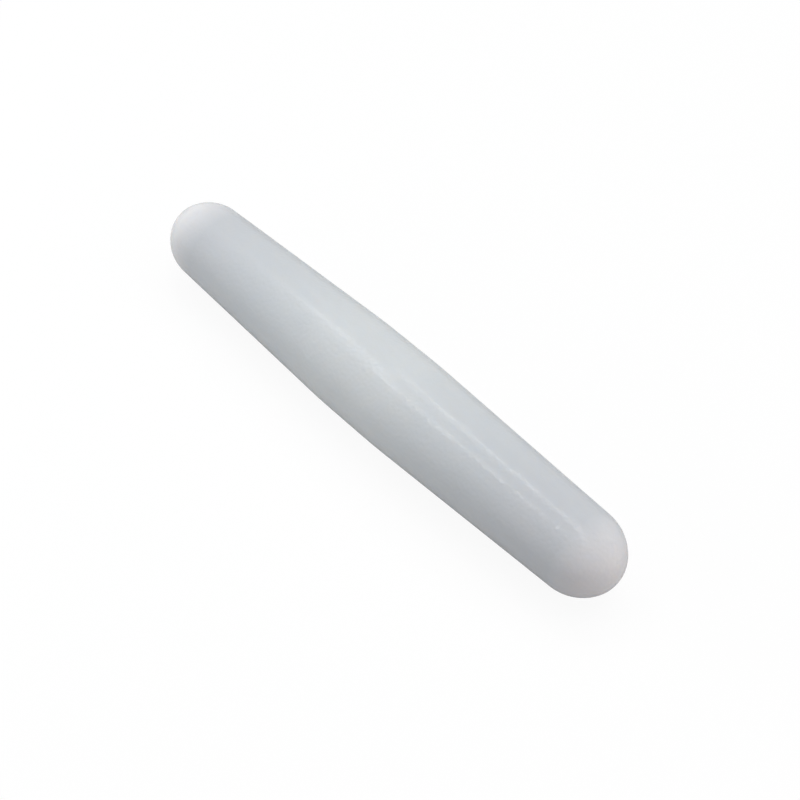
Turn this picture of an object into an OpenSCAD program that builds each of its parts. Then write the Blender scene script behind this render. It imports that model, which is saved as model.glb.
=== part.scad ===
// Magnetic stir bar: a magnet rod sealed in a seamless moulded jacket.
// The bar lies along X with its middle at the origin, and +Z is up.

/* [Jacket] */
// Length of the bar from tip to tip
bar_length = 50; // [36:1:90]
// Diameter at the belly, the bar's thickest place
belly_d = 8; // [7:0.5:14]
// Diameter where the tapers run into the rounded ends
end_d = 6.7; // [5:0.1:6.9]
// Length of each rounded end
cap_length = 3.7; // [2.8:0.1:4.8]
// Length of the straight band round the belly
belly_band = 4; // [1:0.5:10]
// Length of the rounding between the band and each taper
belly_blend = 2.2; // [1:0.2:6]

/* [Magnet] */
// Thickness of the jacket over the ends of the magnet
end_skin = 0.85; // [0.5:0.05:1.2]
// Distance from each end of the magnet to the rounded end beyond it
end_setback = 0.3; // [0:0.1:5]
// Chamfer round the ends of the magnet
magnet_chamfer = 0.4; // [0.1:0.1:0.8]
// Gap between the magnet and the jacket moulded round it
magnet_gap = 0.05; // [0.02:0.01:0.2]

/* [Hidden] */
$fn = 96;

// Straight steps that stand for each arc of the jacket's outline
blend_steps = 4;
shoulder_steps = 12;
tip_steps = 10;

belly_r = belly_d / 2;
end_r = end_d / 2;

// Each rounded end is an oval of two arcs, a wide one at the shoulder and a
// tight one at the tip. They meet where their radius leans from the bar's
// axis by this angle, so they share a tangent there.
meet_angle = 37;
centre_shift = (cap_length - end_r) / (cos(meet_angle) + sin(meet_angle) - 1);
tip_r = cap_length - centre_shift * cos(meet_angle);
shoulder_r = tip_r + centre_shift;
tip_centre = [bar_length / 2 - tip_r, 0];
shoulder_centre = [bar_length / 2 - cap_length, -centre_shift * sin(meet_angle)];

// Each taper is the line from the belly's corner, before it is rounded, that
// touches the shoulder arc. The angle is its slope.
belly_corner = [(belly_band + belly_blend) / 2, belly_r];
reach = shoulder_centre - belly_corner;
taper = acos(shoulder_r / norm(reach)) - atan2(reach.x, -reach.y);
blend_r = belly_blend / 2 / tan(taper / 2);
blend_centre = [belly_band / 2, belly_r - blend_r];

magnet_d = end_d - 2 * end_skin;
magnet_length = bar_length - 2 * (cap_length + end_setback);

// Points [along, across] of an arc between two angles from the bar's axis
function arc(centre, r, from, to, steps, first = 0) = [
    for (i = [first:steps])
        let (angle = from + (to - from) * i / steps)
        centre + r * [cos(angle), sin(angle)]
];

// The jacket's outline from the edge of the belly band to the tip
half_outline = concat(
    arc(blend_centre, blend_r, 90, 90 - taper, blend_steps),
    arc(shoulder_centre, shoulder_r, 90 - taper, meet_angle, shoulder_steps),
    arc(tip_centre, tip_r, meet_angle, 0, tip_steps, first = 1)
);

// Solid turned about X from the half of its outline that lies beyond the
// middle, with a like half before it
module turned(half) {
    last = len(half) - 1;
    rotate([0, 90, 0]) rotate_extrude() polygon(concat(
        [for (p = half) [p.y, p.x]],
        [for (i = [last:-1:0]) [half[i].y, -half[i].x]]
    ));
}

// The magnet's shape, made larger all round by a gap
module rod(gap) {
    r = magnet_d / 2 + gap;
    l = magnet_length / 2 + gap;
    turned([[l - magnet_chamfer, r], [l, r - magnet_chamfer], [l, 0]]);
}

// Seamless white jacket, with the closed space that the magnet fills
module jacket() {
    color("#e3e8ec") difference() {
        turned(half_outline);
        rod(magnet_gap);
    }
}

// Cast magnet rod, sealed in the jacket
module magnet() {
    color("#6f7176") rod(0);
}

jacket();
magnet();
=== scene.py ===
import math

import bmesh
import bpy
from mathutils import Matrix, Vector, noise


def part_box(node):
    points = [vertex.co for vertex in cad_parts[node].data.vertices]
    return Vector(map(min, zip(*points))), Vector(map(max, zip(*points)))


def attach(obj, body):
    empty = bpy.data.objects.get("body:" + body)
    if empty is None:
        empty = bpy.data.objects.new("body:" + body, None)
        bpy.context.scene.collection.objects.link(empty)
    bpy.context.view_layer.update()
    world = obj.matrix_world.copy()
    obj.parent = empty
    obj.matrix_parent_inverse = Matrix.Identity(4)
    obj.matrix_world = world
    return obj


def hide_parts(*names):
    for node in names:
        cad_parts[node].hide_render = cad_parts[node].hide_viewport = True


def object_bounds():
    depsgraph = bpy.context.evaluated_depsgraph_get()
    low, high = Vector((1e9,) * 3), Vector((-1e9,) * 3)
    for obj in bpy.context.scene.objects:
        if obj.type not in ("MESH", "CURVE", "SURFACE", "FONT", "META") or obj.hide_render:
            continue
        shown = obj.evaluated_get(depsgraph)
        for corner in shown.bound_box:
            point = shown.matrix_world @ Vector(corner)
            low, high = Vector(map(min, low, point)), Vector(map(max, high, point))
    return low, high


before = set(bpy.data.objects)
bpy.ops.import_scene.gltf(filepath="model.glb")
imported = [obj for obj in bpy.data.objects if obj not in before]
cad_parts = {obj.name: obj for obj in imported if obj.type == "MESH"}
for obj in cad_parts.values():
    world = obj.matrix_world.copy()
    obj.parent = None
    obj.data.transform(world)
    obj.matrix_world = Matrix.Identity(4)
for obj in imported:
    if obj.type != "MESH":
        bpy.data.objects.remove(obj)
cadLow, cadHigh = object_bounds()
mm = 0.001
barMiddle = (cadLow + cadHigh) / 2
print("frame loaded:", ", ".join(sorted(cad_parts)))

bpy.context.scene.view_settings.view_transform = "Standard"


class Value:
    # wraps a socket, so an expression on values adds the Math nodes it stands for
    def __init__(self, tree, socket):
        self.tree = tree
        self.socket = socket

    def math(self, operation, *terms):
        node = self.tree.nodes.new("ShaderNodeMath")
        node.operation = operation
        for slot, term in zip(node.inputs, terms):
            feed(self.tree, slot, term)
        return Value(self.tree, node.outputs[0])

    def __add__(self, other):
        return self.math("ADD", self, other)

    def __radd__(self, other):
        return self.math("ADD", other, self)

    def __sub__(self, other):
        return self.math("SUBTRACT", self, other)

    def __rsub__(self, other):
        return self.math("SUBTRACT", other, self)

    def __mul__(self, other):
        return self.math("MULTIPLY", self, other)

    def __rmul__(self, other):
        return self.math("MULTIPLY", other, self)

    def __truediv__(self, other):
        return self.math("DIVIDE", self, other)

    def __rtruediv__(self, other):
        return self.math("DIVIDE", other, self)


def feed(tree, slot, term):
    # a socket takes a link, or else a plain number, colour or vector
    if isinstance(term, Value):
        tree.links.new(term.socket, slot)
    elif hasattr(slot.default_value, "__len__"):
        slot.default_value = tuple(term) + (1.0,) * (len(slot.default_value) - len(term))
    else:
        slot.default_value = term


def setStops(ramp, stops):
    # stops are (position, colour); a new ramp has one stop at each end
    for position, colour in stops[1:-1]:
        ramp.elements.new(position)
    for element, (position, colour) in zip(ramp.elements, stops):
        element.position = position
        element.color = (*colour, 1.0)


class Graph:
    # the node tree of a material or of the world
    def __init__(self, owner):
        owner.use_nodes = True
        self.tree = owner.node_tree
        self.tree.nodes.clear()
        self.end = "OutputWorld" if isinstance(owner, bpy.types.World) else "OutputMaterial"

    def node(self, kind, settings=None, values=None, output=0):
        made = self.tree.nodes.new("ShaderNode" + kind)
        for name, setting in (settings or {}).items():
            if name == "stops":
                setStops(made.color_ramp, setting)
            else:
                setattr(made, name, setting)
        for slot, term in (values or {}).items():
            feed(self.tree, made.inputs[slot], term)
        return Value(self.tree, made.outputs[output]) if made.outputs else None

    def point(self):
        # place on the piece, in mm
        place = self.node("TexCoord", output="Object")
        return self.node("VectorMath", {"operation": "SCALE"}, {0: place, "Scale": 1 / mm})

    def times(self, vector, factors):
        return self.node("VectorMath", {"operation": "MULTIPLY"}, {0: vector, 1: factors})

    def length(self, vector):
        return self.node("VectorMath", {"operation": "LENGTH"}, {0: vector}, output=1)

    def blend(self, low, high, factor, mode="MIX"):
        # colours are joined in a Mix node: its sockets 6 and 7 are the colour ones
        return self.node("Mix", {"data_type": "RGBA", "blend_type": mode},
                         {0: factor, 6: low, 7: high}, output=2)

    def ramp(self, value, low, high):
        # 0 below low and 1 above high, with soft ends
        return self.node("MapRange", {"interpolation_type": "SMOOTHSTEP"},
                         {"Value": value, "From Min": low, "From Max": high})

    def seen(self, byEye, byGloss):
        # how much plain white shows to the eye, and to a gloss or glass; none to the light itself
        eye = self.node("LightPath", output="Is Camera Ray")
        gloss = self.node("LightPath", output="Is Glossy Ray")
        glass = self.node("LightPath", output="Is Transmission Ray")
        return eye * byEye + (1 - eye) * (gloss + glass) * byGloss

    def cover(self, under, over, factor):
        # the over shader hides the under one where the factor is 1
        return self.node("MixShader", None, {0: factor, 1: under, 2: over})

    def finish(self, surface):
        self.node(self.end, None, {"Surface": surface})


def addObject(name, data):
    made = bpy.data.objects.new(name, data)
    bpy.context.scene.collection.objects.link(made)
    return made


cameraSettings = {
    "azimuth": 47.75,      # degrees round the bar, 0 looks along +Y
    "elevation": 49.32,    # degrees above the floor
    "distance": 121.40,    # mm from the middle of the bar, along the view
    "lens": 70.18,         # mm
    "sensor": 36,          # mm across
    "nearest": 1,          # mm, what is nearer isn't drawn
    "aside": (1.605, 1.318),   # mm right and down, from the bar's middle to the aim
}


def makeCamera(settings):
    azimuth = math.radians(settings["azimuth"])
    elevation = math.radians(settings["elevation"])
    back = Vector((math.sin(azimuth) * math.cos(elevation),
                   -math.cos(azimuth) * math.cos(elevation),
                   math.sin(elevation)))
    right = Vector((math.cos(azimuth), math.sin(azimuth), 0))
    down = right.cross(back)
    asideRight, asideDown = settings["aside"]
    lens = bpy.data.cameras.new("camera")
    lens.lens = settings["lens"]
    lens.sensor_width = settings["sensor"]
    lens.clip_start = mm * settings["nearest"]
    camera = addObject("camera", lens)
    camera.location = barMiddle + mm * (settings["distance"] * back + asideRight * right
                                        + asideDown * down)
    camera.rotation_euler = back.to_track_quat("Z", "Y").to_euler()
    bpy.context.scene.camera = camera


makeCamera(cameraSettings)
print("camera made")


jacketLow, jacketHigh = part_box("jacket")
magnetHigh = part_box("magnet")[1]

jacketSettings = {
    "endDiameter": 6.7,     # mm, where the tapers run into the rounded ends
    "capLength": 3.7,       # mm, each rounded end
    "bellyBand": 4.0,       # mm, straight band round the belly
    "bellyBlend": 2.2,      # mm, rounding between the band and a taper
    "meetAngle": 37.0,      # degrees, where the shoulder arc meets the tip arc
    "magnetGap": 0.05,      # mm, round the magnet
    "magnetChamfer": 0.4,   # mm
    "spacing": 0.14,        # mm between the rings of the outer skin
    "segments": 200,        # round each of its rings
    "innerSpacing": 1.0,    # mm between the rings of the space round the magnet
    "innerSegments": 64,    # round each of its rings
    "clear": 0.006,         # mm, least depth of the skin below the nominal outline
    "swell": 0.010,         # mm, slow waviness that the mould leaves
    "swellShare": 0.4,      # of the long waves in it
    "swellSize": (7, 3.2, 3.2),         # mm, how long they are along and across the bar
    "rippleShare": 0.15,    # of the shorter waves
    "rippleSize": (2.4, 1.5, 1.5),
    "peel": 0.0035,         # mm, orange peel
    "peelSize": (0.9, 0.5, 0.5),
    "lean": 0.12,           # turns the depth towards the bar's ends, away from square to its axis
}


def arcPoints(centre, radius, start, end, spacing):
    steps = max(2, math.ceil(radius * abs(end - start) / spacing))
    return [(centre[0] + radius * math.cos(start + (end - start) * i / steps),
             centre[1] + radius * math.sin(start + (end - start) * i / steps))
            for i in range(steps + 1)]


def linePoints(start, end, spacing):
    steps = max(1, math.ceil(math.dist(start, end) / spacing))
    return [(start[0] + (end[0] - start[0]) * i / steps,
             start[1] + (end[1] - start[1]) * i / steps)
            for i in range(steps + 1)]


def jacketOutline(settings):
    # half of the outline in mm, [along, across] from the middle to the tip
    half = (jacketHigh.x - jacketLow.x) / 2 / mm
    # rounded to 2 places, because the CAD mesh is a hair thinner between its corners
    bellyRadius = round((jacketHigh.z - jacketLow.z) / 2 / mm, 2)
    cap = settings["capLength"]
    band = settings["bellyBand"]
    blend = settings["bellyBlend"]
    spacing = settings["spacing"]
    upright = math.pi / 2
    # each rounded end is a wide arc at the shoulder and a tight one at the tip
    meet = math.radians(settings["meetAngle"])
    shift = (cap - settings["endDiameter"] / 2) / (math.cos(meet) + math.sin(meet) - 1)
    tipRadius = cap - shift * math.cos(meet)
    shoulderRadius = tipRadius + shift
    shoulder = (half - cap, -shift * math.sin(meet))
    # the taper runs from the belly's corner, before it is rounded, and touches the shoulder arc
    corner = ((band + blend) / 2, bellyRadius)
    reach = (shoulder[0] - corner[0], shoulder[1] - corner[1])
    taper = math.acos(shoulderRadius / math.hypot(*reach)) - math.atan2(reach[0], -reach[1])
    blendRadius = blend / 2 / math.tan(taper / 2)
    belly = linePoints((0, bellyRadius), (band / 2, bellyRadius), spacing)
    rounding = arcPoints((band / 2, bellyRadius - blendRadius), blendRadius,
                         upright, upright - taper, spacing)
    shoulderArc = arcPoints(shoulder, shoulderRadius, upright - taper, meet, spacing)
    slope = linePoints(rounding[-1], shoulderArc[0], spacing)
    tip = arcPoints((half - tipRadius, 0), tipRadius, meet, 0, spacing)
    return belly[:-1] + rounding[:-1] + slope[:-1] + shoulderArc[:-1] + tip


def magnetOutline(settings):
    # half of the closed space round the magnet
    gap = settings["magnetGap"]
    length = magnetHigh.x / mm + gap
    radius = magnetHigh.y / mm + gap
    chamfer = settings["magnetChamfer"]
    side = linePoints((0, radius), (length - chamfer, radius), settings["innerSpacing"])
    return side + [(length, radius - chamfer), (length, 0)]


def waves(point, size, shift=0):
    # smooth noise from -1 to 1; the shift makes one set of waves unlike another
    x, y, z = point
    return noise.noise(Vector((x / size[0] + shift, y / size[1], z / size[2])))


def skinDepth(point, settings):
    # how far the moulded skin lies below the nominal outline at a point, in mm
    # waviness and peel each run from about 0 to their own size, and 0.5 is their middle
    swell = settings["swellShare"] * waves(point, settings["swellSize"]) \
        + settings["rippleShare"] * waves(point, settings["rippleSize"], 40)
    peel = 0.5 * waves(point, settings["peelSize"], 80)
    return settings["clear"] + settings["swell"] * (0.5 + swell) + settings["peel"] * (0.5 + peel)


def turnedShell(mesh, half, segments, depth=None, lean=0, flip=False):
    # closed surface turned about X from half of an outline and its mirror image
    outline = [(-x, r) for x, r in reversed(half)] + half[1:]
    rings = []
    for x, r in outline[1:-1]:
        ring = []
        for i in range(segments):
            turn = math.tau * i / segments
            point = Vector((x, r * math.cos(turn), r * math.sin(turn)))
            if depth:
                inward = -Vector((x * lean, point.y, point.z)).normalized()
                point += depth(point) * inward
            ring.append(mesh.verts.new(mm * point))
        rings.append(ring)
    tips = []
    for x, r in (outline[0], outline[-1]):
        point = Vector((x, 0, 0))
        if depth:
            point.x -= math.copysign(depth(point), x)
        tips.append(mesh.verts.new(mm * point))
    faces = []
    for i in range(segments):
        j = (i + 1) % segments
        faces.append((tips[0], rings[0][j], rings[0][i]))
        faces.append((tips[1], rings[-1][i], rings[-1][j]))
        for near, far in zip(rings, rings[1:]):
            faces.append((near[i], near[j], far[j], far[i]))
    for corners in faces:
        face = mesh.faces.new(reversed(corners) if flip else corners)
        face.smooth = True


def makeJacket(settings):
    shell = bmesh.new()
    turnedShell(shell, jacketOutline(settings), settings["segments"],
                depth=lambda point: skinDepth(point, settings), lean=settings["lean"])
    turnedShell(shell, magnetOutline(settings), settings["innerSegments"], flip=True)
    mesh = bpy.data.meshes.new("moulded_jacket")
    shell.to_mesh(mesh)
    shell.free()
    piece = addObject("moulded_jacket", mesh)
    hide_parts("jacket")
    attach(piece, "root")
    return piece


jacket = makeJacket(jacketSettings)
print("jacket made:", len(jacket.data.polygons), "faces")


polymerSettings = {
    # base colour by how deep the polymer lies over the magnet, in mm
    "colours": [(0.93, (0.612, 0.632, 0.663)), (1.18, (0.633, 0.661, 0.689)),
                (1.36, (0.663, 0.692, 0.716)), (1.55, (0.704, 0.731, 0.747))],
    "tipColour": (0.850, 0.836, 0.848),   # past the magnet's ends there is polymer alone
    "tipStart": -0.4,                     # mm past the magnet's end where the whitening starts
    "tipReach": 3.7,                      # mm over which it grows
    "coreShift": 0.7,                     # mm that the dark core looks nearer to the +X end
    "leastTone": 0.97,                    # times the colour, where clouds and streaks are darkest
    "cloudTone": 0.035,                   # added to it where the clouds are lightest
    "cloudScale": 0.35,                   # clouds per mm
    "cloudStretch": (0.5, 1, 1),          # below 1 makes them longer along the bar
    "streakTone": 0.025,                  # added where the streaks are lightest
    "streakScale": 2.2,                   # streaks per mm
    "streakStretch": (0.12, 1, 1),
    "roughness": 0.135,                   # of the glossiest patches
    "patchRoughness": 0.11,               # added on the dullest ones
    "patchScale": 4.5,                    # patches per mm
    "patchStretch": (0.6, 1, 1),
    "patchEdges": (0.38, 0.62),           # noise from glossy to dull
    "cloudRoughness": 0.02,               # added on the lightest clouds
    "peelScale": 3.2,                     # bumps of the orange peel per mm
    "peelDetail": 0.5,                    # little fine detail, so the bumps stay round
    "peelHeight": 0.022,                  # mm
    "subsurface": 1.0,
    "subsurfaceScale": 0.8,               # mm
    "subsurfaceRadius": (1.0, 0.9, 0.8),  # red goes furthest in it
    "ior": 1.35,
}


def polymerMaterial(settings):
    material = bpy.data.materials.new("moulded white polymer")
    graph = Graph(material)
    point = graph.point()
    across = graph.length(graph.times(point, (0, 1, 1)))
    shifted = graph.node("VectorMath", {"operation": "SUBTRACT"},
                         {0: point, 1: (settings["coreShift"], 0, 0)})
    along = graph.length(graph.times(shifted, (1, 0, 0)))
    deepest = settings["colours"][-1][0]
    depth = across - magnetHigh.y / mm
    colour = graph.node("ValToRGB", {"stops": [(d / deepest, c) for d, c in settings["colours"]]},
                        {"Fac": depth / deepest})
    tipStart = magnetHigh.x / mm + settings["tipStart"]
    whiteness = graph.node("MapRange", None, {"Value": along, "From Min": tipStart,
                                              "From Max": tipStart + settings["tipReach"]})
    colour = graph.blend(colour, settings["tipColour"], whiteness)

    def grain(scale, stretch=(1, 1, 1), detail=2.0):
        return graph.node("TexNoise", None, {"Vector": graph.times(point, stretch),
                                             "Scale": scale, "Detail": detail})

    cloud = grain(settings["cloudScale"], settings["cloudStretch"])
    streaks = grain(settings["streakScale"], settings["streakStretch"])
    tone = settings["leastTone"] + settings["cloudTone"] * cloud + settings["streakTone"] * streaks
    grey = graph.node("CombineColor", None, {0: tone, 1: tone, 2: tone})
    colour = graph.blend(colour, grey, 1.0, "MULTIPLY")
    patches = graph.ramp(grain(settings["patchScale"], settings["patchStretch"]),
                         *settings["patchEdges"])
    roughness = settings["roughness"] + settings["patchRoughness"] * patches \
        + settings["cloudRoughness"] * cloud
    peel = grain(settings["peelScale"], detail=settings["peelDetail"])
    bump = graph.node("Bump", None, {"Strength": 1.0, "Distance": settings["peelHeight"] * mm,
                                     "Height": peel})
    surface = graph.node("BsdfPrincipled", {"subsurface_method": "RANDOM_WALK"}, {
        "Base Color": colour, "Roughness": roughness, "IOR": settings["ior"], "Normal": bump,
        "Subsurface Weight": settings["subsurface"],
        "Subsurface Radius": settings["subsurfaceRadius"],
        "Subsurface Scale": settings["subsurfaceScale"] * mm})
    graph.finish(surface)
    return material


jacket.data.materials.append(polymerMaterial(polymerSettings))
print("jacket finished")


castSettings = {
    "colour": (0.20, 0.20, 0.21),
    "paintedPitShade": 0.8,         # times the colour: painted shade in the pits of the casting
    "roughness": 0.45,      # in the pits
    "addedRoughness": 0.2,  # between them
    "pitScale": 3.0,        # pits per mm
    "pitDetail": 4.0,
    "pitDepth": 0.02,       # mm
}


def castMaterial(settings):
    material = bpy.data.materials.new("cast magnet alloy")
    graph = Graph(material)
    pits = graph.node("TexNoise", None, {"Vector": graph.point(), "Scale": settings["pitScale"],
                                         "Detail": settings["pitDetail"]})
    # painted shade: the colour is darker where the pits' bump is lowest
    paintedShadeColour = tuple(settings["paintedPitShade"] * c for c in settings["colour"])
    colour = graph.blend(paintedShadeColour, settings["colour"], pits)
    roughness = settings["roughness"] + settings["addedRoughness"] * pits
    bump = graph.node("Bump", None, {"Strength": 1.0, "Distance": settings["pitDepth"] * mm,
                                     "Height": pits})
    surface = graph.node("BsdfPrincipled", None, {
        "Base Color": colour, "Metallic": 1.0, "Roughness": roughness, "Normal": bump})
    graph.finish(surface)
    return material


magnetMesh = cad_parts["magnet"].data
magnetMesh.materials.clear()
magnetMesh.materials.append(castMaterial(castSettings))
print("magnet finished")


floorSettings = {
    "radius": 900,          # mm
    "sides": 96,
    "colour": (0.62, 0.62, 0.62),   # of the paint that light and gloss meet
    "colourSeen": (1, 1, 1),
    "whiteSeen": 0.92,      # share of plain white over the lit floor, near the bar
    "whiteInGloss": 0.0,    # the same in the bar's gloss
    "shadowReach": (40, 150),   # mm from the bar, over which the shadow's floor fades to white
}


def floorMaterial(settings):
    material = bpy.data.materials.new("pale floor")
    graph = Graph(material)
    near, far = settings["shadowReach"]
    nearBar = 1 - graph.ramp(graph.length(graph.point()), near, far)
    lit = graph.node("BsdfDiffuse", None, {"Color": settings["colour"]})
    litSeen = graph.node("BsdfDiffuse", None, {"Color": settings["colourSeen"]})
    paint = graph.cover(lit, litSeen, graph.seen(1, 0))
    white = graph.node("Emission", None, {"Color": (1, 1, 1), "Strength": 1.0})
    seen = graph.seen(1 - (1 - settings["whiteSeen"]) * nearBar,
                      1 - (1 - settings["whiteInGloss"]) * nearBar)
    graph.finish(graph.cover(paint, white, seen))
    return material


def makeFloor(settings):
    disc = bmesh.new()
    rim = []
    for i in range(settings["sides"]):
        turn = math.tau * i / settings["sides"]
        rim.append(disc.verts.new((mm * settings["radius"] * math.cos(turn),
                                   mm * settings["radius"] * math.sin(turn), cadLow.z)))
    disc.faces.new(rim)
    mesh = bpy.data.meshes.new("floor")
    disc.to_mesh(mesh)
    disc.free()
    floor = addObject("floor", mesh)
    mesh.materials.append(floorMaterial(settings))


worldSettings = {
    "ambient": 0.15,        # 1 is white
}


def makeWorld(settings):
    world = bpy.data.worlds.new("studio")
    bpy.context.scene.world = world
    graph = Graph(world)
    dim = graph.node("Background", None, {"Color": (1, 1, 1), "Strength": settings["ambient"]})
    white = graph.node("Background", None, {"Color": (1, 1, 1), "Strength": 1.0})
    graph.finish(graph.cover(dim, white, graph.seen(1, 1)))


makeFloor(floorSettings)
makeWorld(worldSettings)
print("floor and surroundings made")


# from and to: a tube's two ends, or a panel's middle line, in mm from the bar's middle
# width: mm across that line; brightness: 1 is white; glints: whether it shows in the gloss
lampSettings = {
    "overheadPanel": {"from": (-260, 0, 330), "to": (160, 0, 330), "width": 200,
                      "brightness": 0.757, "tint": (0.97, 0.98, 1), "glints": False},
    "backPanel": {"from": (-200, 150, 300), "to": (200, 150, 300), "width": 160,
                  "brightness": 1.968, "glints": False},
    "sidePanel": {"from": (332.4, -10.5, 185.5), "to": (205.6, 261.4, 185.5), "width": 160,
                  "brightness": 1.371, "tint": (0.888, 0.986, 1), "glints": False},
    "farFill": {"from": (-130, -118, 60), "to": (-150, -50, 60), "width": 60,
                "brightness": 4.31, "tint": (0.893, 1, 0.978), "glints": False},
    "lowFill": {"from": (-90, -150, 50), "to": (-20, -170, 50), "width": 60,
                "brightness": 3.15, "tint": (1, 0.94, 0.954), "glints": False},
    "endFill": {"from": (150, 40, 60), "to": (150, -40, 60), "width": 60,
                "brightness": 0.9, "tint": (1, 0.64, 0.6), "glints": False},
    "farTube": {"from": (-252, 29, 300), "to": (-180, 5, 300), "width": 8,
                "brightness": 25, "glints": True},
    "crossTube": {"from": (-179, 5, 300), "to": (-169, -88, 300), "width": 8,
                  "brightness": 18, "glints": True},
    "lowTube": {"from": (-160, -97, 300), "to": (-76, -122, 300), "width": 8,
                "brightness": 23, "glints": True},
    "highTube": {"from": (-143, 93, 300), "to": (-72, 42, 300), "width": 8,
                 "brightness": 25, "glints": True},
    "endTube": {"from": (-58, 64, 300), "to": (160, -56, 300), "width": 8,
                "brightness": 18, "glints": True},
}


def makeLamp(name, settings):
    start = mm * Vector(settings["from"])
    end = mm * Vector(settings["to"])
    middle = (start + end) / 2
    along = (end - start).normalized()
    # a lamp shines against its own Z, so Z points away from the bar
    back = middle - along * middle.dot(along)
    back.normalize()
    across = back.cross(along)
    light = bpy.data.lights.new(name, "AREA")
    light.shape = "RECTANGLE"
    light.size = (end - start).length
    light.size_y = mm * settings["width"]
    light.energy = settings["brightness"] * math.pi * light.size * light.size_y
    light.color = settings.get("tint", (1, 1, 1))
    lamp = addObject(name, light)
    lamp.visible_glossy = settings["glints"]
    turned = Matrix((along, across, back)).transposed()
    lamp.matrix_world = Matrix.Translation(barMiddle + middle) @ turned.to_4x4()


for name, settings in lampSettings.items():
    makeLamp(name, settings)
print("lamps made:", len(lampSettings))
